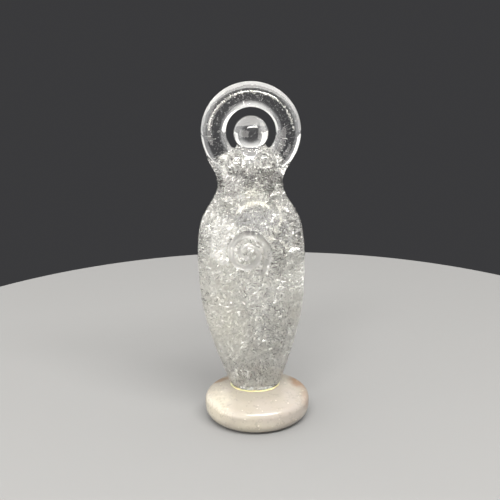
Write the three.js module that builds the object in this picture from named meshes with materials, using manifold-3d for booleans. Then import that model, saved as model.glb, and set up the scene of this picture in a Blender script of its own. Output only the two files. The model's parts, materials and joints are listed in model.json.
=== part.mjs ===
// A goddess figurine: a figure carved from one clear rock crystal, standing on a round base of milky quartz.
// Millimetres, +Z up. The origin is the centre of the base's underside, and the figure faces -Y.
import * as THREE from "three";
import { mergeVertices } from "three/addons/utils/BufferGeometryUtils.js";
import Module from "manifold-3d";

const wasm = await Module();
wasm.setup();

// The base: a thick round disc with soft edges, raised a little to a flat seat in the middle.
const BASE_RADIUS = 15.6;
const BASE_EDGE_HEIGHT = 7.5;
const BASE_TOP_ROUND = 2.4;
const BASE_BOTTOM_ROUND = 3.5;
const SEAT_HEIGHT = 8.5;
const SEAT_RADIUS = 8.6;
const BASE_SIDES = 56;

// The figure stands a little behind the middle of the base, on a thin seam of glue.
const GLUE_SEAM = 0.3;
const FIGURE_Y = 2.4;
const FOOT_Z = SEAT_HEIGHT + GLUE_SEAM;
const OVERALL_HEIGHT = 100;

// Hand carving: the middle line of the figure bows sideways by this much.
const FOOT_X = -0.45;
const BOW = -0.52;

// The arms close overhead in a ring of rounded section.
const RING_OUTER_RADIUS = 14.1;
const RING_HOLE_RADIUS = 7;
const RING_HALF_DEPTH = 3.8;
const RING_X = -0.4;
const RING_Z = OVERALL_HEIGHT - RING_OUTER_RADIUS;
const RING_MIDDLE_RADIUS = (RING_OUTER_RADIUS + RING_HOLE_RADIUS) / 2;
const RING_HALF_WIDTH = (RING_OUTER_RADIUS - RING_HOLE_RADIUS) / 2;

// The body's outline from the foot up: height, half width, half depth.
const BODY_STATIONS = [
  [FOOT_Z, 7.2, 5.9],
  [15.6, 9.8, 7.9],
  [24, 12.45, 9.9],
  [34, 14.75, 11.5],
  [44, 15.55, 12.1],
  [53, 15.45, 12],
  [59, 14.65, 11.3],
  [63, 13, 9.8],
  [66.5, 10.85, 8],
  [69, 9.65, 7],
  [71.2, 9.35, 6.5],
  [74, 9.85, 5.8],
  [77.2, 11.6, 4.7],
  [79.4, 12.4, 3.6],
  [81.4, 12.6, 2.8],
];
const BODY_TOP_Z = 83.2;
const BODY_ROWS = 40;
const BODY_SIDES = 44;

// Chest, neck, head and breasts.
const CHEST_HALF = new THREE.Vector3(9.5, 5.3, 5.4);
const CHEST_Z = 76.4;
const HEAD_RADIUS = 4.9;
const HEAD_Z = 85.5;
const NECK_HALF_WIDTH = 3.85;
const NECK_HALF_DEPTH = 2.7;
const NECK_BOTTOM_Z = 77;
const NECK_NARROW_Z = 83.2;
const NECK_TOP_Z = 84.2;
const SHOULDER_SPREAD = 1.8;
const SHOULDER_Z = 81;
const BREAST_X = 3.8;
const BREAST_Z = 77.6;
const BREAST_HALF = new THREE.Vector3(2.9, 2.3, 3.2);
const BREAST_DEPTH = 3.9;

// The body is cut back for the opening between the raised arms.
const OPENING_RADIUS = RING_HOLE_RADIUS + 0.8;
const OPENING_HALF_LENGTH = 12;

// The spiral groove on the belly.
const SPIRAL_X = -1.1;
const SPIRAL_Z = 53.6;
const SPIRAL_RADIUS = 5.85;
const SPIRAL_TAIL_DEGREES = -54;
const SPIRAL_TAIL_RADIUS = 7.2;
const SPIRAL_END_DEGREES = 628;
const SPIRAL_CENTRE_DEGREES = 740;
const SPIRAL_TIGHTENING = 1.1;
const SPIRAL_STEP_DEGREES = 17;
const GROOVE_RADIUS = 1.34;
const GROOVE_LIFT = 0.58;
const GROOVE_NARROWING = 0.42;
const GROOVE_FADE_DEGREES = 34;
const GROOVE_SIDES = 12;
const GROOVE_STEPS = 54;

const crystal = new THREE.MeshStandardMaterial({
  color: "#e9ebe6",
  roughness: 0.05,
  metalness: 0,
  transparent: true,
  opacity: 0.45,
});
const milkyQuartz = new THREE.MeshStandardMaterial({
  color: "#ddd6c8",
  roughness: 0.3,
  metalness: 0,
});

// A closed geometry as a solid that can be joined and cut.
function solidOf(geometry) {
  const bare = geometry.clone();
  bare.deleteAttribute("normal");
  bare.deleteAttribute("uv");
  const merged = mergeVertices(bare, 1e-4);
  return new wasm.Manifold(
    new wasm.Mesh({
      numProp: 3,
      vertProperties: new Float32Array(merged.attributes.position.array),
      triVerts: new Uint32Array(merged.index.array),
    }),
  );
}

function geometryOf(solid) {
  const { vertProperties, triVerts } = solid.getMesh();
  const geometry = new THREE.BufferGeometry();
  geometry.setAttribute("position", new THREE.BufferAttribute(vertProperties, 3));
  geometry.setIndex(new THREE.BufferAttribute(triVerts, 1));
  geometry.computeVertexNormals();
  return geometry;
}

function meshOf(name, geometry, material) {
  const mesh = new THREE.Mesh(geometry, material);
  mesh.name = name;
  return mesh;
}

// A turned shape about the Z axis, from [radius, height] pairs that run from the bottom up.
function turned(profile, sides) {
  const points = profile.map(([radius, height]) => new THREE.Vector2(radius, height));
  return new THREE.LatheGeometry(points, sides).rotateX(Math.PI / 2);
}

// The points of a quarter or other arc, in degrees, both ends included.
function arc(centreX, centreY, radius, fromDegrees, toDegrees, steps) {
  return Array.from({ length: steps + 1 }, (_, i) => {
    const angle = THREE.MathUtils.degToRad(THREE.MathUtils.lerp(fromDegrees, toDegrees, i / steps));
    return [centreX + radius * Math.cos(angle), centreY + radius * Math.sin(angle)];
  });
}

// How far the figure's middle line stands to the side at a height.
function bowAt(height) {
  const along = (height - FOOT_Z) / (OVERALL_HEIGHT - FOOT_Z);
  return FOOT_X + BOW * Math.sin(Math.PI * THREE.MathUtils.clamp(along, 0, 1));
}

const bodyCurve = new THREE.CatmullRomCurve3(
  BODY_STATIONS.map(([height, halfWidth, halfDepth]) => new THREE.Vector3(halfWidth, halfDepth, height)),
  false,
  "centripetal",
);

// Half width and half depth of the body at a height.
function bodyAt(height) {
  let low = 0;
  let high = 1;
  for (let i = 0; i < 24; i += 1) {
    const middle = (low + high) / 2;
    if (bodyCurve.getPoint(middle).z < height) low = middle;
    else high = middle;
  }
  return bodyCurve.getPoint(low);
}

// The front of the body at a place on the belly.
function frontAt(x, height) {
  const { x: halfWidth, y: halfDepth } = bodyAt(height);
  return FIGURE_Y - halfDepth * Math.sqrt(Math.max(0, 1 - (x / halfWidth) ** 2));
}

function body() {
  const rows = bodyCurve.getSpacedPoints(BODY_ROWS);
  const profile = [[0, FOOT_Z], ...rows.map((row) => [row.x, row.z]), [0, BODY_TOP_Z]];
  const geometry = turned(profile, BODY_SIDES);
  const place = geometry.attributes.position;
  for (let i = 0; i < place.count; i += 1) {
    const { x: halfWidth, y: halfDepth } = bodyAt(place.getZ(i));
    place.setX(i, place.getX(i) + bowAt(place.getZ(i)));
    place.setY(i, FIGURE_Y + (place.getY(i) * halfDepth) / halfWidth);
  }
  return solidOf(geometry);
}

function armRing() {
  const geometry = new THREE.TorusGeometry(RING_MIDDLE_RADIUS, RING_HALF_WIDTH, 16, 48)
    .scale(1, 1, RING_HALF_DEPTH / RING_HALF_WIDTH)
    .rotateX(Math.PI / 2)
    .translate(RING_X, FIGURE_Y, RING_Z);
  return solidOf(geometry);
}

// The round opening between the arms, cut from front to back.
function opening() {
  const geometry = new THREE.CylinderGeometry(OPENING_RADIUS, OPENING_RADIUS, 2 * OPENING_HALF_LENGTH, 48)
    .translate(RING_X, FIGURE_Y, RING_Z);
  return solidOf(geometry);
}

function ellipsoid(half, x, y, z, around, rings) {
  const geometry = new THREE.SphereGeometry(1, around, rings)
    .rotateX(Math.PI / 2)
    .scale(half.x, half.y, half.z)
    .translate(x, y, z);
  return solidOf(geometry);
}

function chest() {
  return ellipsoid(CHEST_HALF, bowAt(CHEST_Z), FIGURE_Y, CHEST_Z, 32, 16);
}

function head() {
  const half = new THREE.Vector3(HEAD_RADIUS, HEAD_RADIUS, HEAD_RADIUS);
  return ellipsoid(half, RING_X, FIGURE_Y, HEAD_Z, 28, 16);
}

// The short neck, spreading to the shoulders at its foot.
function neck() {
  const spread = arc(0, 0, 1, 270, 180, 5).map(([across, down]) => [
    NECK_HALF_WIDTH + SHOULDER_SPREAD * (1 + across),
    NECK_NARROW_Z + (NECK_NARROW_Z - SHOULDER_Z) * down,
  ]);
  const profile = [
    [0, NECK_BOTTOM_Z],
    [NECK_HALF_WIDTH + SHOULDER_SPREAD, NECK_BOTTOM_Z],
    ...spread,
    [NECK_HALF_WIDTH, NECK_TOP_Z],
    [0, NECK_TOP_Z],
  ];
  const geometry = turned(profile, 28)
    .scale(1, NECK_HALF_DEPTH / NECK_HALF_WIDTH, 1)
    .translate(RING_X, FIGURE_Y, 0);
  return solidOf(geometry);
}

function breast(side) {
  return ellipsoid(BREAST_HALF, bowAt(BREAST_Z) + side * BREAST_X, FIGURE_Y - BREAST_DEPTH, BREAST_Z, 20, 12);
}

// Distance of the groove from the spiral's centre at an angle, with the open tail on the lower right.
function spiralRadius(degrees) {
  if (degrees < 0) {
    return THREE.MathUtils.lerp(SPIRAL_RADIUS, SPIRAL_TAIL_RADIUS, (degrees / SPIRAL_TAIL_DEGREES) ** 1.6);
  }
  return SPIRAL_RADIUS * (1 - (degrees / SPIRAL_CENTRE_DEGREES) ** SPIRAL_TIGHTENING);
}

// The groove is widest in its outer turn and narrows to the centre.
function grooveSize(degrees) {
  return 1 - GROOVE_NARROWING * THREE.MathUtils.clamp(degrees / SPIRAL_END_DEGREES, 0, 1);
}

// A place on the middle line of the cutter, which rides just in front of the belly.
function groovePoint(degrees) {
  const angle = THREE.MathUtils.degToRad(degrees);
  const x = SPIRAL_X + spiralRadius(degrees) * Math.cos(angle);
  const z = SPIRAL_Z + spiralRadius(degrees) * Math.sin(angle);
  const fade = Math.max(0, 1 - (degrees - SPIRAL_TAIL_DEGREES) / GROOVE_FADE_DEGREES);
  const lift = GROOVE_LIFT * (grooveSize(degrees) + fade);
  return new THREE.Vector3(bowAt(z) + x, frontAt(x, z) - lift, z);
}

// Draws each section of a swept tube in towards the path, by the size asked for there.
function narrow(geometry, stops) {
  const place = geometry.attributes.position;
  const corner = new THREE.Vector3();
  for (let i = 0; i < place.count; i += 1) {
    corner.fromBufferAttribute(place, i);
    const nearest = stops.reduce((a, b) =>
      corner.distanceToSquared(a.point) < corner.distanceToSquared(b.point) ? a : b,
    );
    corner.sub(nearest.point).multiplyScalar(nearest.size).add(nearest.point);
    place.setXYZ(i, corner.x, corner.y, corner.z);
  }
  return geometry;
}

function spiralGroove() {
  const turns = [];
  for (let degrees = SPIRAL_TAIL_DEGREES; degrees <= SPIRAL_END_DEGREES; degrees += SPIRAL_STEP_DEGREES) {
    turns.push(degrees);
  }
  const path = new THREE.CatmullRomCurve3(turns.map(groovePoint));
  const corners = arc(0, 0, GROOVE_RADIUS, 0, 360 - 360 / GROOVE_SIDES, GROOVE_SIDES - 1);
  const section = new THREE.Shape(corners.map(([x, y]) => new THREE.Vector2(x, y)));
  const sweep = { steps: GROOVE_STEPS, bevelEnabled: false, extrudePath: path };
  const stops = path.getSpacedPoints(GROOVE_STEPS).map((point, i) => {
    const degrees = THREE.MathUtils.lerp(SPIRAL_TAIL_DEGREES, SPIRAL_END_DEGREES, (i / GROOVE_STEPS) ** 1.6);
    return { point, size: grooveSize(degrees) };
  });
  return solidOf(narrow(new THREE.ExtrudeGeometry(section, sweep), stops));
}

function figure() {
  const carved = body()
    .subtract(opening())
    .add(armRing())
    .add(chest())
    .add(neck())
    .add(head())
    .add(breast(-1))
    .add(breast(1))
    .subtract(spiralGroove());
  return meshOf("figure", geometryOf(carved), crystal);
}

function baseDisc() {
  const bottom = arc(BASE_RADIUS - BASE_BOTTOM_ROUND, BASE_BOTTOM_ROUND, BASE_BOTTOM_ROUND, -90, 0, 6);
  const top = arc(BASE_RADIUS - BASE_TOP_ROUND, BASE_EDGE_HEIGHT - BASE_TOP_ROUND, BASE_TOP_ROUND, 0, 80, 5);
  const [edgeRadius, edgeHeight] = top[top.length - 1];
  const crown = [0.35, 0.7, 1].map((inward) => [
    THREE.MathUtils.lerp(edgeRadius, SEAT_RADIUS, inward),
    THREE.MathUtils.lerp(edgeHeight, SEAT_HEIGHT, Math.sin((inward * Math.PI) / 2)),
  ]);
  const profile = [[0, 0], ...bottom, ...top, ...crown, [0, SEAT_HEIGHT]];
  return meshOf("base_disc", geometryOf(solidOf(turned(profile, BASE_SIDES))), milkyQuartz);
}

const figurine = new THREE.Group();
figurine.name = "goddess_figurine";
figurine.add(figure(), baseDisc());

export default figurine;
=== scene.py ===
"""A goddess figurine cut from rock crystal, on a round base of milky quartz."""

import json
import math

import bpy
import numpy as np
from bpy.props import FloatProperty, FloatVectorProperty, IntProperty, PointerProperty
from mathutils import Matrix, Vector, noise

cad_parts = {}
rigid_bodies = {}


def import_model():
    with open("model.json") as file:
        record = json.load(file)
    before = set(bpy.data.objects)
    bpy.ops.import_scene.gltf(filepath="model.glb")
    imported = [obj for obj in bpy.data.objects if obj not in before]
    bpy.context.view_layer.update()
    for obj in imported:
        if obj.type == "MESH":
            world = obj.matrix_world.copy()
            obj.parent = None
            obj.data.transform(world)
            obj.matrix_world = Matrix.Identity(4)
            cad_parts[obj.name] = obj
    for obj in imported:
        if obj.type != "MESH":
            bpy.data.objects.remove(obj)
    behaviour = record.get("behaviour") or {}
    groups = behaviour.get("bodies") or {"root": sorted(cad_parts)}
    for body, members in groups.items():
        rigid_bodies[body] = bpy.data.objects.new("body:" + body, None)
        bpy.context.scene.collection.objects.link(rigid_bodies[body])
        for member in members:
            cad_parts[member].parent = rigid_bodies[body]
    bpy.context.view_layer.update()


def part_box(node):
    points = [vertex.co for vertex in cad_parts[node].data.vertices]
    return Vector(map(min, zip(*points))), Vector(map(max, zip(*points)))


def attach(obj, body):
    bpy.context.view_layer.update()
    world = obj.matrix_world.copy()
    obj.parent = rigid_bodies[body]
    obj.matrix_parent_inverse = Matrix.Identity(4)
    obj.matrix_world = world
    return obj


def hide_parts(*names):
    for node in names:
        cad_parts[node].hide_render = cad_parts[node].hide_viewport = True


bl_info = {
    "name": "Crystal Goddess Figurine",
    "version": (1, 0, 0),
    "blender": (4, 5, 0),
    "location": "3D View > Sidebar > Figurine",
    "description": "Models a carved rock crystal goddess with a spiral on her belly, and her quartz base",
    "category": "Add Mesh",
}

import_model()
FIGURE_LOW, FIGURE_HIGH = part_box("figure")
DISC_LOW, DISC_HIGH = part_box("base_disc")

# Measures of the carving in millimetres. They are turned to metres where a mesh is made.
MM = 0.001
FOOT_Z = FIGURE_LOW[2] / MM
TOP_Z = FIGURE_HIGH[2] / MM
SEAT_Z = DISC_HIGH[2] / MM
BASE_RADIUS = (DISC_HIGH[0] - DISC_LOW[0]) / 2 / MM
BASE_EDGE_Z = 7.5
SEAT_RADIUS = 8.6
FIGURE_Y = 2.4

# The hand-cut figure bows sideways.
FOOT_X = -0.45
BOW = -0.52

# The ring of the raised arms.
RING_X = -0.4
RING_OUTER = 14.1
RING_HOLE = 7.0
RING_MIDDLE = (RING_OUTER + RING_HOLE) / 2
RING_HALF_WIDTH = (RING_OUTER - RING_HOLE) / 2
RING_HALF_DEPTH = 3.8
RING_Z = TOP_Z - RING_OUTER

# Half of the ring's section, from the hole outwards: distance from the centre, half depth.
# The front is nearly flat, and an edge at the eighth place parts it from the outer bevel.
RING_SECTION = (
    (RING_HOLE, 0),
    (7.1, 0.95),
    (7.5, 2.0),
    (8.15, 2.9),
    (8.9, 3.5),
    (9.7, RING_HALF_DEPTH - 0.04),
    (10.7, RING_HALF_DEPTH),
    (11.75, 3.66),
    (12.5, 3.05),
    (13.25, 2.25),
    (13.85, 1.2),
    (RING_OUTER, 0),
)

# The body from the foot up: height, half width, half depth.
BODY_STATIONS = (
    (FOOT_Z, 7.2, 5.9),
    (15.6, 9.8, 7.9),
    (24, 12.45, 9.9),
    (34, 14.75, 11.5),
    (44, 15.55, 12.1),
    (53, 15.45, 12),
    (59, 14.65, 11.3),
    (63, 13, 9.8),
    (66.5, 10.85, 8),
    (69, 9.65, 7),
    (71.2, 9.35, 6.5),
    (74, 9.85, 5.8),
    (77.2, 11.6, 4.7),
    (79.4, 12.4, 3.6),
    (81.4, 12.6, 2.8),
)
BODY_TOP_Z = 83.2

# Chest, breasts, neck and head.
CHEST_HALF = (9.5, 5.3, 5.4)
CHEST_Z = 76.4
BREAST_HALF = (2.9, 2.3, 3.2)
BREAST_X = 3.8
BREAST_DEPTH = 3.9
BREAST_Z = 77.6
HEAD_RADIUS = 4.9
HEAD_Z = 85.5
NECK_HALF_WIDTH = 3.85
NECK_HALF_DEPTH = 2.7
NECK_BOTTOM_Z = 77
SHOULDER_Z = 81
NECK_NARROW_Z = 83.2
NECK_TOP_Z = 84.2
SHOULDER_SPREAD = 1.8

# The spiral groove.
SPIRAL_X = -1.1
SPIRAL_Z = 53.6
SPIRAL_RADIUS = 5.85
SPIRAL_TAIL_DEGREES = -54
SPIRAL_TAIL_RADIUS = 7.2
SPIRAL_END_DEGREES = 628
SPIRAL_CENTRE_DEGREES = 740

# How the eye looks through the front: the places that it sees one behind the other sink by this much.
SIGHT_SLOPE = 0.2
SIGHT_Y = -8

# One sealed flake and one sealed thread, over its length: three corners round the middle, then two tips.
FLAKE = ((0.5, 0, 0), (-0.2, 0.46, 0), (-0.28, -0.42, 0), (0, 0, 0.08), (0, 0, -0.08))
THREAD = ((0, 0.13, 0), (0, 0.01, 0.05), (0, 0.01, -0.05), (0.5, -0.03, 0), (-0.5, -0.03, 0))

# Spots where fewer pale flakes lie: middle x and z, half width, half height, share that stays.
CLEARER = (
    (0.3, 62.3, 5.2, 3.4, 0.12),
    (7.4, 58.5, 3.0, 5.5, 0.3),
    (11.8, 59.0, 3.0, 6.5, 0.04),
    (0, 73, 9, 3, 0.45),
    (-5.9, 70.9, 2.4, 1.6, 0.3),
    (15.5, 40, 3.2, 22, 0.0),
    (11.5, 22, 3.2, 9, 0.0),
)

# Spots with more or fewer shaded threads, the dark flakes of painted shade.
DARKER = (
    (7.4, 58.0, 2.6, 5.5, 0.9),
    (6.4, 50.5, 2.6, 4.5, 0.7),
    (5.8, 31.5, 4.5, 9, 0.42),
    (-0.5, 17.5, 5, 4, 0.3),
    (0, 73, 8, 3.4, 0.6),
    (-4.5, 78, 2.5, 2.5, 0.5),
    (3.5, 77, 3, 2.5, 0.7),
    (-5.9, 70.9, 2.4, 1.6, 0.7),
    (-2.8, 47, 3.5, 3, 0.3),
    (-9, 30, 7, 11, 0.0),
    (-12.5, 44, 4, 10, 0.06),
    (0, 69, 4, 2, 0.04),
    (11.8, 59.0, 3.0, 6.5, 0.0),
    (15.5, 40, 3.6, 22, 0.0),
    (11.5, 22, 3.6, 9, 0.0),
)

# White lines of flakes near the front: the line in x and z, its spread, its depth and its count of flakes.
# The first, the arc over the upper belly, is partly a crack and partly a painted highlight of the key light;
# the other two are cracks.
CRACKS_AND_HIGHLIGHT_ARC = (
    (((-4.9, 64.4), (-3, 66), (-0.7, 66.9), (1.2, 67.1), (3.1, 66.5), (4.5, 65.3)), 0.22, 0.3, 2000),
    (((7.0, 65.3), (7.5, 61.8), (6.1, 59.5), (4.9, 57.2), (3.8, 57.8)), 0.3, 0.8, 900),
    (((7.5, 56.0), (9.5, 53.5)), 0.3, 0.8, 200),
)


def metres(x, y, z):
    """A place in millimetres as a vector in metres."""
    return Vector((x * MM, y * MM, z * MM))


def deselect_everything():
    """Leaves nothing selected, and nothing in edit mode."""
    if bpy.context.object and bpy.context.object.mode != "OBJECT":
        bpy.ops.object.mode_set(mode="OBJECT")
    for other in bpy.context.view_layer.objects:
        other.select_set(False)


def take(piece):
    """Makes the piece the only selected object and the active one."""
    deselect_everything()
    piece.select_set(True)
    bpy.context.view_layer.objects.active = piece


def settle(piece, name):
    """Names the piece and moves its place into its mesh."""
    take(piece)
    piece.name = name
    piece.data.name = name
    bpy.ops.object.transform_apply(location=True, rotation=True, scale=True)
    return piece


def face_outwards(piece):
    """Merges doubles and turns every face outwards."""
    take(piece)
    bpy.ops.object.mode_set(mode="EDIT")
    bpy.ops.mesh.select_all(action="SELECT")
    bpy.ops.mesh.remove_doubles(threshold=1e-7)
    bpy.ops.mesh.normals_make_consistent(inside=False)
    bpy.ops.object.mode_set(mode="OBJECT")
    return piece


def apply_modifier(piece, kind, **settings):
    """Adds one modifier with these settings and applies it."""
    take(piece)
    added = piece.modifiers.new(kind.title(), kind)
    for key, value in settings.items():
        setattr(added, key, value)
    bpy.ops.object.modifier_apply(modifier=added.name)


def join(pieces):
    """Joins the pieces into the first of them."""
    deselect_everything()
    for piece in pieces:
        piece.select_set(True)
    bpy.context.view_layer.objects.active = pieces[0]
    bpy.ops.object.join()
    return pieces[0]


def dress(piece, material):
    """Gives the piece its material, and lets it ride with the stone."""
    piece.data.materials.append(material)
    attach(piece, "root")


def raise_rows(name, rows, sides):
    """A closed form drawn up from its lowest outline: centre x and y, height, half width and half depth."""
    deselect_everything()
    x, y, z, wide, deep = rows[0]
    bpy.ops.mesh.primitive_circle_add(
        vertices=sides, radius=wide * MM, fill_type="NGON", location=metres(x, y, z)
    )
    piece = bpy.context.object
    bpy.ops.object.mode_set(mode="EDIT")
    bpy.ops.mesh.select_all(action="SELECT")
    bpy.ops.transform.resize(value=(1, deep / wide, 1), center_override=metres(x, y, z))
    for row in rows[1:]:
        step = metres(*row[:3]) - metres(x, y, z)
        bpy.ops.mesh.extrude_region_move(TRANSFORM_OT_translate={"value": step})
        growth = (row[3] / wide, row[4] / deep, 1)
        bpy.ops.transform.resize(value=growth, center_override=metres(*row[:3]))
        x, y, z, wide, deep = row
    return face_outwards(settle(piece, name))


def rounded(name, half, centre):
    """A smooth egg of these half sizes."""
    deselect_everything()
    bpy.ops.mesh.primitive_uv_sphere_add(segments=96, ring_count=64, radius=MM, location=metres(*centre))
    piece = bpy.context.object
    bpy.ops.object.mode_set(mode="EDIT")
    bpy.ops.mesh.select_all(action="SELECT")
    bpy.ops.transform.resize(value=half, center_override=metres(*centre))
    return settle(piece, name)


def bow_at(height):
    """How far the middle line stands to the side at a height."""
    along = np.clip((np.asarray(height) - FOOT_Z) / (TOP_Z - FOOT_Z), 0, 1)
    return FOOT_X + BOW * np.sin(np.pi * along)


def smooth_path(points, steps):
    """A centripetal spline through the points, with this many places in each stretch."""
    points = [np.array(p, float) for p in points]
    points = [2 * points[0] - points[1], *points, 2 * points[-1] - points[-2]]
    t = np.linspace(0, 1, steps, endpoint=False)[:, None]
    stretches = []
    for a, b, c, d in zip(points, points[1:], points[2:], points[3:]):
        ab, bc, cd = (math.dist(p, q) ** 0.5 for p, q in ((a, b), (b, c), (c, d)))
        leave = ((b - a) / ab - (c - a) / (ab + bc) + (c - b) / bc) * bc
        arrive = ((c - b) / bc - (d - b) / (bc + cd) + (d - c) / cd) * bc
        stretches.append(
            (2 * t**3 - 3 * t**2 + 1) * b
            + (t**3 - 2 * t**2 + t) * leave
            + (3 * t**2 - 2 * t**3) * c
            + (t**3 - t**2) * arrive
        )
    return np.vstack([*stretches, points[-2]])


BODY_OUTLINE = smooth_path(BODY_STATIONS, 24)


def body_at(height):
    """Half width and half depth of the body at a height."""
    wide = np.interp(height, BODY_OUTLINE[:, 0], BODY_OUTLINE[:, 1])
    deep = np.interp(height, BODY_OUTLINE[:, 0], BODY_OUTLINE[:, 2])
    return wide, deep


def spiral_line():
    """The middle line of the groove: x, z, the groove's size, and how much it fades at the open tail."""
    turns = np.linspace(SPIRAL_TAIL_DEGREES, SPIRAL_END_DEGREES, 400)
    inward = np.clip(turns, 0, None) / SPIRAL_CENTRE_DEGREES
    outward = np.clip(turns / SPIRAL_TAIL_DEGREES, 0, None) ** 1.6
    reach = SPIRAL_RADIUS * (1 - inward**1.1) + (SPIRAL_TAIL_RADIUS - SPIRAL_RADIUS) * outward
    z = SPIRAL_Z + reach * np.sin(np.radians(turns))
    x = SPIRAL_X + reach * np.cos(np.radians(turns)) + bow_at(z)
    size = 1 - 0.42 * np.clip(turns / SPIRAL_END_DEGREES, 0, 1)
    fade = np.clip(1 - (turns - SPIRAL_TAIL_DEGREES) / 34, 0, 1)
    return x, z, size, fade


class CrystalSettings(bpy.types.PropertyGroup):
    """Finish of the carved crystal"""

    tint: FloatVectorProperty(
        name="Tint", description="Colour of the clear crystal", subtype="COLOR", size=3, min=0, max=1,
        default=(0.998, 0.998, 0.995),
    )
    polish: FloatProperty(
        name="Polish Roughness", description="Roughness of the polished faces", default=0.012, min=0, max=1
    )
    frost: FloatProperty(
        name="Groove Roughness", description="Roughness inside the spiral groove", default=0.28, min=0, max=1
    )
    worn: FloatProperty(
        name="Edge Roughness", description="Roughness of the duller edges of the ring", default=0.3, min=0,
        max=1,
    )
    fillet: FloatProperty(
        name="Grain", description="Spacing of the mesh that fuses the carved forms", unit="LENGTH",
        default=0.00036, min=0.0002, max=0.002,
    )
    groove_radius: FloatProperty(
        name="Groove Radius", description="Radius of the tool that cut the spiral", unit="LENGTH",
        default=0.00134, min=0.0003, max=0.003,
    )
    groove_lift: FloatProperty(
        name="Groove Lift", description="How far the middle of the tool stayed above the belly",
        unit="LENGTH", default=0.00058, min=0, max=0.003,
    )


class VeilSettings(bpy.types.PropertyGroup):
    """Cloudy veils and specks sealed in the crystal"""

    veil_colour: FloatVectorProperty(
        name="Veil Colour", description="Colour of the healed cracks", subtype="COLOR", size=3, min=0, max=1,
        default=(0.99, 0.983, 0.955),
    )
    # Painted shade: the colour of the dark threads that stand for shade among the veils.
    painted_shade_colour: FloatVectorProperty(
        name="Painted Shade Colour", description="Colour of the dark threads that paint shade", subtype="COLOR", size=3,
        min=0, max=1, default=(0.2, 0.19, 0.18),
    )
    cloud_and_highlight_colour: FloatVectorProperty(
        name="Cloud And Highlight Colour", description="Colour of the milky cloud, and of the white cracks and painted highlights", subtype="COLOR", size=3, min=0, max=1,
        default=(0.995, 0.985, 0.94),
    )
    chip: FloatProperty(
        name="Chip Size", description="Mean width of a flake in the veils", unit="LENGTH",
        default=0.00055, min=0.0001, max=0.003,
    )
    seed: IntProperty(name="Seed", description="Another number scatters the flakes anew", default=7, min=0)


class BaseSettings(bpy.types.PropertyGroup):
    """Shape and colours of the quartz base and the glue"""

    edge_round: FloatProperty(
        name="Top Edge", description="Radius of the round top edge", unit="LENGTH", default=0.0024,
        min=0.0003, max=0.004,
    )
    foot_round: FloatProperty(
        name="Lower Edge", description="Radius of the round lower edge", unit="LENGTH", default=0.0035,
        min=0.0003, max=0.004,
    )
    quartz: FloatVectorProperty(
        name="Quartz", description="Main colour of the milky quartz", subtype="COLOR", size=3, min=0, max=1,
        default=(0.29, 0.265, 0.22),
    )
    blush: FloatVectorProperty(
        name="Blush", description="Colour of the pinkish grey parts", subtype="COLOR", size=3, min=0, max=1,
        default=(0.31, 0.278, 0.245),
    )
    cream: FloatVectorProperty(
        name="Cream Light And Flecks", description="Colour of the painted light on the base, and paler, of its flecks", subtype="COLOR", size=3, min=0, max=1,
        default=(0.38, 0.35, 0.285),
    )
    rust: FloatVectorProperty(
        name="Rust", description="Colour of the iron stain", subtype="COLOR", size=3, min=0, max=1,
        default=(0.22, 0.14, 0.09),
    )
    glue: FloatVectorProperty(
        name="Glue", description="Colour of the glue under the foot", subtype="COLOR", size=3, min=0, max=1,
        default=(0.5, 0.46, 0.25),
    )


class StudioSettings(bpy.types.PropertyGroup):
    """Floor, light and camera"""

    floor_radius: FloatProperty(
        name="Floor Radius", description="Radius of the round floor", unit="LENGTH", default=0.16, min=0.1,
        max=5,
    )
    floor_colour: FloatVectorProperty(
        name="Floor Colour", description="Colour of the plain floor", subtype="COLOR", size=3, min=0, max=1,
        default=(0.2, 0.2, 0.2),
    )
    surround: FloatVectorProperty(
        name="Surround", description="Tone all round the stage", subtype="COLOR", size=3, min=0, max=1,
        default=(0.22, 0.22, 0.22),
    )
    backdrop: FloatVectorProperty(
        name="Backdrop", description="Tone behind the figure, as the camera sees it", subtype="COLOR",
        size=3, min=0, max=1, default=(0.035, 0.035, 0.037),
    )
    overhead: FloatVectorProperty(
        name="Overhead", description="Soft light from straight above", subtype="COLOR", size=3, min=0, max=4,
        default=(0.95, 0.935, 0.91),
    )
    key_power: FloatProperty(
        name="Key Light", description="Power of the long soft light", unit="POWER", default=7, min=0
    )
    side_power: FloatProperty(
        name="Side Light", description="Power of the wide soft light on the left", unit="POWER",
        default=1.8, min=0,
    )
    front_power: FloatProperty(
        name="Front Light", description="Power of the soft light on the front left", unit="POWER",
        default=4, min=0,
    )


def turned_row(height, half_wide, half_deep):
    """One outline of the figure at a height, as raise_rows takes it."""
    return (float(bow_at(height)), FIGURE_Y, float(height), float(half_wide), float(half_deep))


def body_form():
    """The tapered body, cut back where the arms open above it."""
    rows = [turned_row(*place) for place in BODY_OUTLINE[::4]]
    rows.append(turned_row(BODY_TOP_Z - 0.9, 6.3, 1.4))
    rows.append(turned_row(BODY_TOP_Z, 0.1, 0.05))
    form = raise_rows("body_form", rows, 112)
    deselect_everything()
    bpy.ops.mesh.primitive_cylinder_add(
        vertices=128,
        radius=(RING_HOLE + 0.8) * MM,
        depth=24 * MM,
        location=metres(RING_X, FIGURE_Y, RING_Z),
        rotation=(math.pi / 2, 0, 0),
    )
    opening = settle(bpy.context.object, "opening_form")
    apply_modifier(form, "BOOLEAN", operation="DIFFERENCE", solver="EXACT", object=opening)
    bpy.data.objects.remove(opening)
    return form


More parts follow.
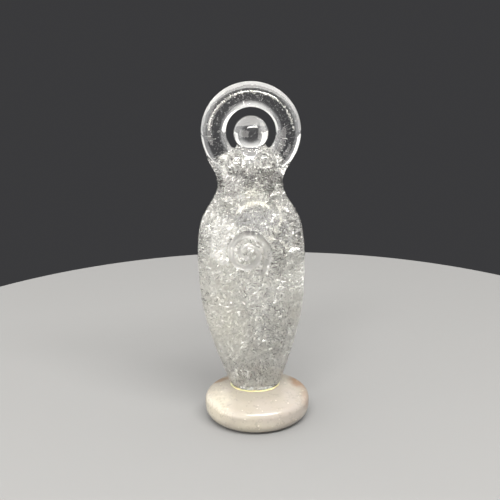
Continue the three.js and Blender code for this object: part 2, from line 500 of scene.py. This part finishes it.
def ring_form():
    """The ring of the arms, turned from a section with a flat front and a bevel round its outside."""
    deselect_everything()
    front = smooth_path(RING_SECTION[:8], 4)
    bevel = smooth_path(RING_SECTION[7:], 4)
    half = np.vstack([front[:-1], bevel])
    section = [*half, *((r, -deep) for r, deep in half[-2:0:-1])]
    bpy.ops.mesh.primitive_circle_add(vertices=len(section), radius=MM)
    form = bpy.context.object
    for vertex, (reach, deep) in zip(form.data.vertices, section):
        vertex.co = metres(RING_X + reach, FIGURE_Y - deep, RING_Z)
    bpy.ops.object.mode_set(mode="EDIT")
    bpy.ops.mesh.select_all(action="SELECT")
    centre = metres(RING_X, FIGURE_Y, RING_Z)
    bpy.ops.mesh.spin(steps=180, angle=2 * math.pi, center=centre, axis=(0, 1, 0))
    bpy.ops.object.mode_set(mode="OBJECT")
    return face_outwards(settle(form, "ring_form"))


def neck_form():
    """The short neck, which spreads in a quarter round to the shoulders."""
    outline = [(NECK_BOTTOM_Z, NECK_HALF_WIDTH + SHOULDER_SPREAD)]
    for angle in np.linspace(0, math.pi / 2, 9):
        height = NECK_NARROW_Z - (NECK_NARROW_Z - SHOULDER_Z) * math.cos(angle)
        outline.append((height, NECK_HALF_WIDTH + SHOULDER_SPREAD * (1 - math.sin(angle))))
    outline.append((NECK_TOP_Z, NECK_HALF_WIDTH))
    flatness = NECK_HALF_DEPTH / NECK_HALF_WIDTH
    rows = [(RING_X, FIGURE_Y, z, wide, wide * flatness) for z, wide in outline]
    return raise_rows("neck_form", rows, 72)


def groove_depth(x, z, radius, lift):
    """Depth of the spiral groove at places on the belly, with softly rounded lips."""
    line_x, line_z, size, fade = spiral_line()
    depth = np.full(len(x), -9.0)
    for px, pz, part, gone in zip(line_x, line_z, size, fade):
        away = np.hypot(x - px, z - pz)
        tool = radius * part
        cut = np.sqrt(np.clip(tool**2 - away**2, 0, None)) - lift * (part + gone)
        depth = np.maximum(depth, np.where(away < tool, cut, -9))
    return np.where(depth > -8, 0.5 * (depth + np.sqrt(depth**2 + 0.003)), 0)


def carve_spiral(figure, settings):
    """Refines the belly round the spiral and sinks the groove into it."""
    mesh = figure.data
    take(figure)
    bpy.ops.object.mode_set(mode="EDIT")
    bpy.ops.mesh.select_all(action="DESELECT")
    bpy.ops.object.mode_set(mode="OBJECT")
    for face in mesh.polygons:
        x, y, z = face.center / MM
        face.select = y < FIGURE_Y - 3 and math.hypot(x - SPIRAL_X - FOOT_X - BOW, z - SPIRAL_Z) < 9.2
    bpy.ops.object.mode_set(mode="EDIT")
    bpy.ops.mesh.subdivide(number_cuts=1)
    for _ in range(3):
        bpy.ops.mesh.vertices_smooth(factor=0.5)
    bpy.ops.object.mode_set(mode="OBJECT")
    places = np.empty(len(mesh.vertices) * 3)
    normals = np.empty(len(mesh.vertices) * 3)
    mesh.vertices.foreach_get("co", places)
    mesh.vertices.foreach_get("normal", normals)
    places = places.reshape(-1, 3) / MM
    normals = normals.reshape(-1, 3)
    belly = (places[:, 1] < FIGURE_Y - 3) & (abs(places[:, 2] - SPIRAL_Z) < 10)
    depth = np.zeros(len(places))
    depth[belly] = groove_depth(
        places[belly, 0], places[belly, 2], settings.groove_radius / MM, settings.groove_lift / MM
    )
    places -= normals * depth[:, None]
    mesh.vertices.foreach_set("co", (places * MM).ravel())
    mesh.update()
    return depth


def node_material(name):
    """A material with a Principled shader, and a function that adds and wires nodes in it."""
    material = bpy.data.materials.new(name)
    material.use_nodes = True
    tree = material.node_tree
    shader = tree.nodes["Principled BSDF"]

    def add(kind, inputs=None, **settings):
        node = tree.nodes.new("ShaderNode" + kind)
        for key, value in settings.items():
            setattr(node, key, value)
        for key, value in (inputs or {}).items():
            if isinstance(value, bpy.types.NodeSocket):
                tree.links.new(value, node.inputs[key])
            else:
                node.inputs[key].default_value = value
        return node

    def wire(output, socket):
        tree.links.new(output, shader.inputs[socket])

    return material, shader, add, wire


def set_plain(shader, **values):
    """Plain values on the shader's own sockets, named in words joined by underscores."""
    for key, value in values.items():
        shader.inputs[key.replace("_", " ")].default_value = value


def ramp(add, factor, stops):
    """A colour ramp over these (place, colour) stops."""
    node = add("ValToRGB", {"Fac": factor})
    elements = node.color_ramp.elements
    while len(elements) < len(stops):
        elements.new(0.5)
    for element, (place, colour) in zip(elements, stops):
        element.position = place
        element.color = (*colour, 1) if len(colour) == 3 else colour
    return node.outputs["Color"]


def crystal_material(name, settings, roughness, clear=1.0):
    """Clear rock crystal: see-through by plain values, with a faint waviness from hand polishing."""
    material, shader, add, wire = node_material(name)
    set_plain(
        shader,
        Base_Color=(*settings.tint, 1),
        Roughness=roughness,
        IOR=1.544,
        Transmission_Weight=clear,
    )
    place = add("TexCoord").outputs["Object"]
    waves = add("TexNoise", {"Vector": place, "Scale": 260.0, "Detail": 2.0}).outputs["Fac"]
    bump = add("Bump", {"Height": waves, "Strength": 0.12, "Distance": 0.0004})
    wire(bump.outputs["Normal"], "Normal")
    return material


def on_worn_edge(place):
    """True on the outermost and innermost strips of the ring, which are duller than the rest."""
    x, y, z = place
    reach = math.hypot(x - RING_X, z - RING_Z)
    ragged = 0.25 * noise.noise((x * 0.5, y * 0.5, z * 0.5))
    if z < RING_Z + 4 * ragged or reach < RING_HOLE - 0.6:
        return False
    return reach > RING_OUTER - 0.75 + ragged or reach < RING_HOLE + 0.6 + ragged


class FIGURINE_OT_crystal(bpy.types.Operator):
    """Model the carved crystal figure"""

    bl_idname = "figurine.crystal"
    bl_label = "Crystal Figure"

    def execute(self, context):
        settings = context.scene.figurine_crystal
        chest = (float(bow_at(CHEST_Z)), FIGURE_Y, CHEST_Z)
        breast_x = float(bow_at(BREAST_Z))
        forms = [
            body_form(),
            ring_form(),
            neck_form(),
            rounded("chest_form", CHEST_HALF, chest),
            rounded("head_form", (HEAD_RADIUS,) * 3, (RING_X, FIGURE_Y, HEAD_Z)),
        ]
        for side in (-1, 1):
            centre = (breast_x + side * BREAST_X, FIGURE_Y - BREAST_DEPTH, BREAST_Z)
            forms.append(rounded("breast_form", BREAST_HALF, centre))
        figure = settle(join(forms), "crystal_figure")
        apply_modifier(figure, "REMESH", mode="VOXEL", voxel_size=settings.fillet, use_smooth_shade=True)
        apply_modifier(figure, "SMOOTH", factor=0.5, iterations=5)
        depth = carve_spiral(figure, settings)
        figure.data.materials.append(crystal_material("polished crystal", settings, settings.polish))
        figure.data.materials.append(crystal_material("frosted groove", settings, settings.frost))
        dress(figure, crystal_material("worn edge", settings, settings.worn, 0.9))
        for face in figure.data.polygons:
            if min(depth[i] for i in face.vertices) > 0.12:
                face.material_index = 1
            elif on_worn_edge(face.center / MM):
                face.material_index = 2
        figure.data.shade_smooth()
        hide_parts("figure")
        print("crystal figure", len(figure.data.polygons), "faces")
        return {"FINISHED"}


def share_at(places, share, spots):
    """The share of flakes that stay at these places, with spots that look cloudier or clearer."""
    x, y, z = places.T
    z = z + SIGHT_SLOPE * (y - SIGHT_Y)
    shares = np.full(len(places), float(share))
    for middle_x, middle_z, half_x, half_z, there in spots:
        away = ((x - middle_x) / half_x) ** 2 + ((z - middle_z) / half_z) ** 2
        weight = np.clip(1.8 * (1.25 - away), 0, 1)
        shares += weight * (there - shares)
    return shares


def inside_egg(places, centre, half, skin):
    """True for the places in an egg, at least this far under its surface."""
    return (((places - np.array(centre)) / (np.array(half) - skin)) ** 2).sum(axis=1) < 1


def inside_body(places, skin):
    """True for the places in the body, chest or breasts, at least this far under the surface."""
    x, y, z = places.T
    wide, deep = body_at(z)
    middle = bow_at(z)
    trunk = ((x - middle) / (wide - skin)) ** 2 + ((y - FIGURE_Y) / (deep - skin)) ** 2 < 1
    trunk &= (z > FOOT_Z + skin) & (z < 79.5)
    trunk |= inside_egg(places, (bow_at(CHEST_Z), FIGURE_Y, CHEST_Z), CHEST_HALF, skin)
    for side in (-1, 1):
        breast = (bow_at(BREAST_Z) + side * BREAST_X, FIGURE_Y - BREAST_DEPTH, BREAST_Z)
        trunk |= inside_egg(places, breast, BREAST_HALF, skin)
    return trunk & (np.hypot(x - RING_X, z - RING_Z) > RING_HOLE + 0.8 + skin)


def inside_ring(places, skin):
    """True for the places in the ring of the arms, at least this far under the surface."""
    x, y, z = places.T
    across = np.hypot(x - RING_X, z - RING_Z) - RING_MIDDLE
    return (across / (RING_HALF_WIDTH - skin)) ** 2 + ((y - FIGURE_Y) / (RING_HALF_DEPTH - skin)) ** 2 < 1


def inside_stone(places, skin):
    """True for the places anywhere in the carved crystal, at least this far under its surface."""
    head = (RING_X, FIGURE_Y, HEAD_Z)
    sealed = inside_body(places, skin) | inside_ring(places, skin)
    return sealed | inside_egg(places, head, (HEAD_RADIUS,) * 3, skin)


def front_at(x, z, under):
    """Y of the places that lie this far behind the front of the body."""
    wide, deep = body_at(z)
    out = np.clip(1 - ((x - bow_at(z)) / wide) ** 2, 0, 1)
    return FIGURE_Y - deep * np.sqrt(out) + under


def crowd_of_places(draw, count, reach):
    """Places in the body under its front and its back, down to a share of the way to its middle."""
    z = draw.uniform(FOOT_Z, 82, count)
    wide, deep = body_at(z)
    edge = 0.96 - 0.25 * np.clip((z - 60) / 6, 0, 1)
    x = bow_at(z) + wide * edge * draw.uniform(-1, 1, count)
    room = FIGURE_Y - front_at(x, z, 0)
    depth = 0.4 + reach * room * draw.uniform(0, 1, count) ** 1.5
    side = np.where(draw.uniform(0, 1, count) < 0.65, -1, 1)
    chest = (z > 73) & (draw.uniform(0, 1, count) < 0.4)
    y = np.where(chest, FIGURE_Y - draw.uniform(2, 6, count), FIGURE_Y + side * (room - depth))
    places = np.stack([x, y, z], axis=1)
    return places[inside_body(places, 0.4)]


def flow_at(draw, places, seed):
    """Directions of the threads, which swirl from place to place."""
    swirl = np.array([noise.noise((x * 0.13, y * 0.07 + seed, z * 0.13)) for x, y, z in places])
    curl = np.array([noise.noise((x * 0.5, y * 0.3 - seed, z * 0.5)) for x, y, z in places])
    turn = 0.9 + 3.6 * swirl + 2.4 * curl + draw.normal(0, 0.25, len(places))
    return np.stack([np.cos(turn), draw.normal(0, 0.3, len(places)), np.sin(turn)], axis=1)


def sheet_of_flakes(draw, centre, facing, size, bend, count, seed):
    """Places and facings of flakes that lie along a curved and lacy healed crack."""
    turn = np.array(Vector(facing).normalized().to_track_quat("Z", "Y").to_matrix())
    u, v = draw.uniform(-1, 1, (2, count))
    rough = np.array([noise.noise((2.2 * a, 2.2 * b, seed)) for a, b in zip(u, v)])
    lace = np.array([noise.fractal((a * 3.2, b * 3.2, seed + 9), 0.7, 2, 3) for a, b in zip(u, v)])
    keep = (np.hypot(u, v) < 0.85 + 0.5 * rough) & (lace > -0.05)
    u, v, rough = u[keep], v[keep], rough[keep]
    lift = bend * (u**2 + 0.6 * v**2) + 1.6 * rough + draw.normal(0, 0.1, len(u))
    flat = np.stack([u * size[0], v * size[1], lift], axis=1)
    facings = np.stack([-2 * bend * u / size[0], -1.2 * bend * v / size[1], np.ones(len(u))], axis=1)
    facings = facings + draw.normal(0, 0.5, facings.shape)
    return flat @ turn.T + np.array(centre), facings @ turn.T


def ball_of_flakes(draw, centre, half, count, power=1.0):
    """Places of flakes that fill an egg, closest together at its middle."""
    way = draw.normal(0, 1, (count, 3))
    way /= np.linalg.norm(way, axis=1)[:, None]
    reach = draw.uniform(0, 1, count) ** (power / 3 + 0.33)
    return np.array(centre) + way * reach[:, None] * np.array(half)


def line_of_flakes(draw, points, spread, under, count):
    """Places of flakes along a line drawn on the front of the body, thickest at its middle."""
    points = np.array(points, float)
    along = draw.uniform(0, len(points) - 1, count)
    x, z = (np.interp(along, np.arange(len(points)), points[:, i]) for i in (0, 1))
    thick = spread * (0.25 + np.sin(np.pi * along / (len(points) - 1)))
    x = x + draw.normal(0, 1, count) * thick
    z = z + draw.normal(0, 1, count) * thick
    return np.stack([x, front_at(x, z, under + draw.uniform(0, 0.6, count)), z], axis=1)


def strew(name, shape, places, along, widths, draw):
    """One mesh with a copy of a small flake or thread at each place, laid along its direction."""
    count = len(places)
    along = along / np.linalg.norm(along, axis=1)[:, None]
    side = np.cross(along, draw.normal(0, 1, (count, 3)))
    side /= np.linalg.norm(side, axis=1)[:, None]
    facing = np.cross(along, side)
    stretch = draw.lognormal(0, 0.3, (count, 1, 1))
    corners = np.array(shape)[None] * draw.uniform(0.75, 1.25, (count, len(shape), 1))
    points = (
        corners[:, :, 0:1] * along[:, None] * stretch
        + corners[:, :, 1:2] * side[:, None] / stretch
        + corners[:, :, 2:3] * facing[:, None]
    )
    points = points * widths[:, None, None] + places[:, None]
    sealed = inside_stone(points.reshape(-1, 3), 0.2).reshape(count, -1).all(axis=1)
    points = points[sealed]
    count = len(points)
    faces = np.array([(0, 1, 3), (1, 2, 3), (2, 0, 3), (1, 0, 4), (2, 1, 4), (0, 2, 4)])
    indices = (faces[None] + len(shape) * np.arange(count)[:, None, None]).reshape(-1, 3)
    mesh = bpy.data.meshes.new(name)
    mesh.from_pydata((points * MM).reshape(-1, 3).tolist(), [], indices.tolist())
    mesh.update()
    piece = bpy.data.objects.new(name, mesh)
    bpy.context.collection.objects.link(piece)
    print(name, count, "flakes", len(mesh.polygons), "faces")
    return piece


def flake_material(name, colour, shade, dark_share, roughness, mirror=0.0):
    """Flakes whose tone changes from spot to spot, with a share darkened among them as painted shade."""
    material, shader, add, wire = node_material(name)
    set_plain(shader, Roughness=roughness, IOR=1.5, Metallic=mirror)
    place = add("TexCoord").outputs["Object"]
    spots = add("TexNoise", {"Vector": place, "Scale": 1800.0, "Detail": 1.0}).outputs["Fac"]
    # Painted shade: the flakes in the dark share take the colour times shade.
    dark = tuple(c * shade for c in colour)
    wire(ramp(add, spots, [(dark_share, dark), (dark_share + 0.12, tuple(colour))]), "Base Color")
    return material


class FIGURINE_OT_veils(bpy.types.Operator):
    """Strew the cloudy veils, the milky cloud and the fine specks inside the crystal"""

    bl_idname = "figurine.veils"
    bl_label = "Sealed Veils"

    def execute(self, context):
        settings = context.scene.figurine_veils
        draw = np.random.default_rng(settings.seed)
        chip = settings.chip / MM
        sheets = []
        for i in range(48):
            height = draw.uniform(11, 70)
            wide, deep = body_at(height)
            centre = (draw.uniform(-0.6, 0.6) * wide, FIGURE_Y + draw.uniform(-0.6, 0.5) * deep, height)
            facing = (draw.normal(0, 0.7), draw.normal(-1, 0.5), draw.normal(0.3, 0.8))
            size = (draw.uniform(3, 9), draw.uniform(3, 7))
            sheets.append(sheet_of_flakes(draw, centre, facing, size, draw.uniform(-2, 2), 900, i))
        places = np.vstack([s[0] for s in sheets])
        facings = np.vstack([s[1] for s in sheets])
        keep = inside_body(places, 0.6) & (draw.uniform(0, 1, len(places)) < share_at(places, 1, CLEARER))
        places = places[keep]
        across = np.cross(facings[keep], draw.normal(0, 1, places.shape))
        widths = chip * draw.lognormal(0, 0.4, len(places))
        veils = strew("healed_veils", FLAKE, places, across, widths, draw)
        finish = flake_material("healed veils", settings.veil_colour, 0.93, 0.36, 0.3, 1.0)
        dress(veils, finish)

        for name, count, reach, share, spots, length, colour, mirror in (
            ("pale_threads", 46000, 1.0, 0.95, CLEARER, 1.0, settings.veil_colour, 1.0),
            # These dark threads are painted shade, where gaps in the veils look dark.
            ("painted_shade_threads", 40000, 0.35, 0.13, DARKER, 0.9, settings.painted_shade_colour, 0.0),
        ):
            places = crowd_of_places(draw, count, reach)
            places = places[draw.uniform(0, 1, len(places)) < share_at(places, share, spots)]
            widths = length * draw.lognormal(0, 0.35, len(places))
            threads = strew(name, THREAD, places, flow_at(draw, places, settings.seed), widths, draw)
            finish = flake_material(name.replace("_", " "), colour, 0.93, 0.4, 0.3, mirror)
            dress(threads, finish)

        clouds = [
            ball_of_flakes(draw, (-7, FIGURE_Y - 3.5, 29), (7.5, 7, 12), 15000, 0.6),
            ball_of_flakes(draw, (-7.5, FIGURE_Y - 2, 42), (7, 6.5, 11), 6000, 0.6),
            ball_of_flakes(draw, (0, FIGURE_Y, 16), (8, 6, 8), 4000, 1.0),
            ball_of_flakes(draw, (2, FIGURE_Y + 4, 42), (10, 6, 14), 3000, 1.0),
            ball_of_flakes(draw, (8, FIGURE_Y + 2, 32), (6.5, 6.5, 13), 5500, 1.0),
        ]
        places = np.vstack(clouds)
        places = places[inside_body(places, 0.5)]
        widths = 0.34 * draw.lognormal(0, 0.3, len(places))
        cloud = strew("milky_cloud", FLAKE, places, draw.normal(0, 1, places.shape), widths, draw)
        dress(cloud, flake_material("milky cloud", settings.cloud_and_highlight_colour, 0.95, 0.4, 0.6))

        # Cracks and painted highlights: the crack lines, with white flakes that paint the key light's
        # highlights on the upper belly and along the ring's edge.
        cracks = [line_of_flakes(draw, *line) for line in CRACKS_AND_HIGHLIGHT_ARC]
        # White flakes just under the front of the upper belly: partly a cloudy patch, partly a painted
        # highlight where the key light's reflection lies.
        cracks.append(ball_of_flakes(draw, (0, FIGURE_Y - 5.5, 70), (3.6, 1.2, 2.6), 1500, 1.0))
        # Painted highlight: a line of white flakes just behind the front of the ring, along its edge over the
        # upper half, where the key light's highlight runs.
        turn = draw.uniform(0.1, math.pi - 0.1, 700)
        reach = 11.75 + draw.normal(0, 0.18, 700)
        edge = [RING_X + reach * np.cos(turn), np.full(700, FIGURE_Y - 3.1), RING_Z + reach * np.sin(turn)]
        cracks.append(np.stack(edge, axis=1))
        places = np.vstack(cracks)
        widths = 0.3 * draw.lognormal(0, 0.35, len(places))
        white = strew("white_cracks_and_painted_highlights", FLAKE, places, draw.normal(0, 1, places.shape), widths, draw)
        dress(white, flake_material("white cracks and painted highlights", settings.cloud_and_highlight_colour, 0.95, 0.4, 0.5))

        places = draw.uniform((-16, -12, 9), (16, 16, 100), (60000, 3))
        crowd = draw.uniform(0, 1, len(places))
        keep = inside_body(places, 0.4) & (crowd < 0.4 * share_at(places, 1, CLEARER))
        head = (RING_X, FIGURE_Y, HEAD_Z)
        keep |= inside_ring(places, 0.4) | inside_egg(places, head, (HEAD_RADIUS,) * 3, 0.4) & (crowd < 0.4)
        places = places[keep]
        widths = 0.16 * draw.lognormal(0, 0.4, len(places))
        specks = strew("fine_specks", FLAKE, places, draw.normal(0, 1, places.shape), widths, draw)
        dress(specks, flake_material("fine specks", settings.veil_colour, 0.9, 0.4, 0.4))
        return {"FINISHED"}


def stain(add, place, ragged, middle, half, strength):
    """How strongly a spot shows, a real stain or a patch of painted light: full at its middle, ragged towards
    its edge.
    """
    where = {"Vector": place, "Location": metres(*middle), "Scale": metres(*half)}
    spot = add("Mapping", where, vector_type="TEXTURE")
    near = add("TexGradient", {"Vector": spot.outputs["Vector"]}, gradient_type="SPHERICAL").outputs["Fac"]
    both = add("Math", {0: near, 1: ragged}, operation="MULTIPLY").outputs["Value"]
    shown = add("MapRange", {"Value": both, "From Min": 0.08, "From Max": 0.3, "To Max": strength})
    return shown.outputs["Result"]


def quartz_material(settings):
    """Polished milky quartz: a pinkish grey body with cream painted light on its left front and a cream
    painted reflection along its lower front, rusty stains, a vein and pale flecks.
    """
    material, shader, add, wire = node_material("milky quartz")
    set_plain(
        shader,
        IOR=1.54,
        Subsurface_Weight=0.35,
        Subsurface_Radius=(1.0, 0.85, 0.7),
        Subsurface_Scale=0.002,
    )
    place = add("TexCoord").outputs["Object"]
    clouds = add("TexNoise", {"Vector": place, "Scale": 90.0, "Detail": 3.0, "Roughness": 0.5}).outputs["Fac"]
    grain = {"Vector": place, "Scale": 420.0, "Detail": 4.0, "Roughness": 0.65}
    ragged = add("TexNoise", grain).outputs["Fac"]
    tone = ramp(add, clouds, [(0.38, tuple(settings.quartz)), (0.62, tuple(settings.blush))])

    def lay(colour, amount):
        """Lays a colour over the tone so far."""
        mix = add("Mix", data_type="RGBA")
        mix.inputs["B"].default_value = (*colour, 1)
        material.node_tree.links.new(tone, mix.inputs["A"])
        material.node_tree.links.new(amount, mix.inputs["Factor"])
        return mix.outputs["Result"]

    # The two cream spots are painted: light where the left lights fall on the left front, and a reflection
    # along the lower front side. The rust spots are stains.
    for colour, middle, half, strength in (
        (settings.cream, (-12.5, -8, 6), (9, 11, 6), 0.9),
        (settings.cream, (1, -16, 2.5), (13, 6, 4), 0.5),
        (settings.rust, (12.6, 5.5, 7.3), (4.5, 8, 4), 0.9),
        (settings.rust, (15, -4, 6.5), (3, 8, 4), 0.5),
        (settings.rust, (-11.2, 7, 7.4), (4.5, 3, 3), 0.7),
    ):
        tone = lay(colour, stain(add, place, ragged, middle, half, strength))
    wave = {"Vector": place, "Scale": 9.0, "Distortion": 9.0, "Detail": 3.0, "Detail Scale": 60.0}
    vein = add("TexWave", wave)
    lines = add("MapRange", {"Value": vein.outputs["Fac"], "From Min": 0.93, "From Max": 1.0, "To Max": 0.35})
    tone = lay([0.55 * c for c in settings.blush], lines.outputs["Result"])
    flecks = add("TexVoronoi", {"Vector": place, "Scale": 700.0, "Randomness": 1.0}).outputs["Distance"]
    near = {"Value": flecks, "From Min": 0.2, "From Max": 0.12, "To Max": 0.8}
    small = add("MapRange", near).outputs["Result"]
    patch = add("MapRange", {"Value": ragged, "From Min": 0.5, "From Max": 0.62}).outputs["Result"]
    pale = add("Math", {0: small, 1: patch}, operation="MULTIPLY").outputs["Value"]
    tone = lay([min(1, 1.5 * c) for c in settings.cream], pale)
    wire(tone, "Base Color")
    wire(add("MapRange", {"Value": ragged, "To Min": 0.1, "To Max": 0.34}).outputs["Result"], "Roughness")
    pits = add("Bump", {"Height": ragged, "Strength": 0.12, "Distance": 0.0002})
    wire(pits.outputs["Normal"], "Normal")
    return material


def glue_material(settings):
    """Old glue, olive yellow and slightly cloudy."""
    material, shader, add, wire = node_material("old glue")
    set_plain(shader, Roughness=0.35, IOR=1.48, Subsurface_Weight=0.3, Subsurface_Scale=0.001)
    place = add("TexCoord").outputs["Object"]
    clouds = add("TexNoise", {"Vector": place, "Scale": 500.0, "Detail": 3.0}).outputs["Fac"]
    pale = tuple(min(1, 1.4 * c) for c in settings.glue)
    wire(ramp(add, clouds, [(0.35, tuple(settings.glue)), (0.65, pale)]), "Base Color")
    return material


class FIGURINE_OT_base(bpy.types.Operator):
    """Model the quartz base and the seam of glue"""

    bl_idname = "figurine.base"
    bl_label = "Quartz Base"

    def execute(self, context):
        settings = context.scene.figurine_base
        top, low = settings.edge_round / MM, settings.foot_round / MM
        rows = []
        for angle in np.linspace(-90, 0, 12):
            a = math.radians(angle)
            rows.append((BASE_RADIUS - low + low * math.cos(a), low + low * math.sin(a)))
        for angle in np.linspace(0, 80, 12):
            a = math.radians(angle)
            rows.append((BASE_RADIUS - top + top * math.cos(a), BASE_EDGE_Z - top + top * math.sin(a)))
        edge_radius, edge_z = rows[-1]
        for inward in np.linspace(0, 1, 9)[1:]:
            radius = edge_radius + (SEAT_RADIUS - edge_radius) * inward
            rows.append((radius, edge_z + (SEAT_Z - edge_z) * math.sin(inward * math.pi / 2)))
        rows += [(SEAT_RADIUS * part, SEAT_Z) for part in (0.8, 0.5, 0.2)]
        base = raise_rows("quartz_base", [(0, 0, z, r, r) for r, z in rows], 160)
        dress(base, quartz_material(settings))
        base.data.shade_smooth()
        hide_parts("base_disc")

        seam = [(0, 0), (0.06, 0.22), (0.15, 0.3), (0.24, 0.2), (0.29, 0)]
        rows = [(FOOT_X, FIGURE_Y, SEAT_Z + 0.005 + up, 7.15 + out, 5.85 + out) for up, out in seam]
        glue = raise_rows("glue_seam", rows, 96)
        for vertex in glue.data.vertices:
            x, y, z = vertex.co / MM
            swell = 1 + 0.03 * noise.noise((x * 0.5, y * 0.5, 3.7))
            vertex.co.x = (FOOT_X + (x - FOOT_X) * swell) * MM
            vertex.co.y = (FIGURE_Y + (y - FIGURE_Y) * swell) * MM
        dress(glue, glue_material(settings))
        glue.data.shade_smooth()
        return {"FINISHED"}


class FIGURINE_OT_studio(bpy.types.Operator):
    """Set up the plain floor, the soft lights and the camera"""

    bl_idname = "figurine.studio"
    bl_label = "Studio"

    def execute(self, context):
        settings = context.scene.figurine_studio
        scene = context.scene
        deselect_everything()
        bpy.ops.mesh.primitive_cylinder_add(
            vertices=180, radius=settings.floor_radius, depth=0.004, location=(0, 0, -0.0021)
        )
        floor = settle(bpy.context.object, "floor")
        apply_modifier(floor, "BEVEL", width=0.0015, segments=3)
        material, shader, add, wire = node_material("plain floor")
        set_plain(shader, Base_Color=(*settings.floor_colour, 1), Roughness=0.7)
        floor.data.materials.append(material)

        world = bpy.data.worlds.new("plain surround")
        world.use_nodes = True
        nodes, links = world.node_tree.nodes, world.node_tree.links
        way = nodes.new("ShaderNodeTexCoord").outputs["Generated"]
        height = nodes.new("ShaderNodeSeparateXYZ")
        links.new(way, height.inputs[0])
        glow = nodes.new("ShaderNodeValToRGB")
        glow.color_ramp.elements[0].position = 0.1
        glow.color_ramp.elements[0].color = (*settings.surround, 1)
        glow.color_ramp.elements[1].position = 0.6
        glow.color_ramp.elements[1].color = (*settings.overhead, 1)
        links.new(height.outputs["Z"], glow.inputs["Fac"])
        behind = nodes.new("ShaderNodeVectorMath")
        behind.operation = "DOT_PRODUCT"
        behind.inputs[1].default_value = (0, 0.98, -0.19)
        links.new(way, behind.inputs[0])
        shade = nodes.new("ShaderNodeMapRange")
        shade.interpolation_type = "SMOOTHSTEP"
        shade.inputs["From Min"].default_value = 0.86
        shade.inputs["From Max"].default_value = 0.955
        links.new(behind.outputs["Value"], shade.inputs["Value"])
        dark_field = nodes.new("ShaderNodeMix")
        dark_field.data_type = "RGBA"
        dark_field.inputs["B"].default_value = (*settings.backdrop, 1)
        links.new(shade.outputs["Result"], dark_field.inputs["Factor"])
        links.new(glow.outputs["Color"], dark_field.inputs["A"])
        links.new(dark_field.outputs["Result"], nodes["Background"].inputs["Color"])
        scene.world = world

        aim = Vector((0, 0, 0.055))
        lights = (
            ("strip", (0.1, -0.36, 0.56), (0.7, 0.12), settings.key_power, (1, 0.985, 0.95)),
            ("left", (-0.62, 0.32, 0.25), (0.9, 0.6), settings.side_power, (1, 0.98, 0.94)),
            ("front", (-0.45, -0.4, 0.12), (0.8, 0.5), settings.front_power, (1, 0.97, 0.92)),
            ("right", (0.66, 0.24, 0.25), (0.9, 0.6), settings.side_power * 0.6, (1, 0.98, 0.94)),
        )
        for name, place, size, power, colour in lights:
            data = bpy.data.lights.new(name, "AREA")
            data.shape = "RECTANGLE"
            data.size, data.size_y = size
            data.energy = power
            data.color = colour
            lamp = bpy.data.objects.new(name, data)
            lamp.location = place
            lamp.visible_camera = False
            lamp.rotation_euler = (aim - Vector(place)).to_track_quat("-Z", "Y").to_euler()
            scene.collection.objects.link(lamp)

        pitch, yaw, roll = (math.radians(a) for a in (17.781, -0.269, 1.1))
        ahead = Vector((math.sin(yaw) * math.cos(pitch), math.cos(yaw) * math.cos(pitch), -math.sin(pitch)))
        right = ahead.cross(Vector((0, 0, 1))).normalized()
        up = right.cross(ahead)
        right, up = right * math.cos(roll) - up * math.sin(roll), up * math.cos(roll) + right * math.sin(roll)
        data = bpy.data.cameras.new("camera")
        data.sensor_fit = "HORIZONTAL"
        data.sensor_width = 36
        data.lens = 72
        data.clip_start = 0.01
        camera = bpy.data.objects.new("camera", data)
        turn = Matrix((right, up, -ahead)).transposed().to_4x4()
        camera.matrix_world = Matrix.Translation((0, -0.2745, 0.139865)) @ turn
        scene.collection.objects.link(camera)
        scene.camera = camera
        scene.view_settings.view_transform = "Standard"
        scene.view_settings.exposure = 0.3
        scene.cycles.max_bounces = 64
        scene.cycles.diffuse_bounces = 48
        scene.cycles.transmission_bounces = 48
        scene.cycles.sample_clamp_indirect = 0
        return {"FINISHED"}


class FIGURINE_PT_panel(bpy.types.Panel):
    """Pieces of the figurine"""

    bl_label = "Crystal Goddess Figurine"
    bl_idname = "FIGURINE_PT_panel"
    bl_space_type = "VIEW_3D"
    bl_region_type = "UI"
    bl_category = "Figurine"

    def draw(self, context):
        layout = self.layout
        for operator in OPERATORS:
            layout.operator(operator.bl_idname)


SETTINGS = {
    "figurine_crystal": CrystalSettings,
    "figurine_veils": VeilSettings,
    "figurine_base": BaseSettings,
    "figurine_studio": StudioSettings,
}
OPERATORS = (FIGURINE_OT_crystal, FIGURINE_OT_veils, FIGURINE_OT_base, FIGURINE_OT_studio)


def register():
    for kind in (*SETTINGS.values(), *OPERATORS, FIGURINE_PT_panel):
        bpy.utils.register_class(kind)
    for name, kind in SETTINGS.items():
        setattr(bpy.types.Scene, name, PointerProperty(type=kind))


def unregister():
    for name in SETTINGS:
        delattr(bpy.types.Scene, name)
    for kind in reversed((*SETTINGS.values(), *OPERATORS, FIGURINE_PT_panel)):
        bpy.utils.unregister_class(kind)


def main():
    register()
    bpy.ops.figurine.studio()
    bpy.ops.figurine.crystal()
    bpy.ops.figurine.veils()
    bpy.ops.figurine.base()


if __name__ == "__main__":
    main()
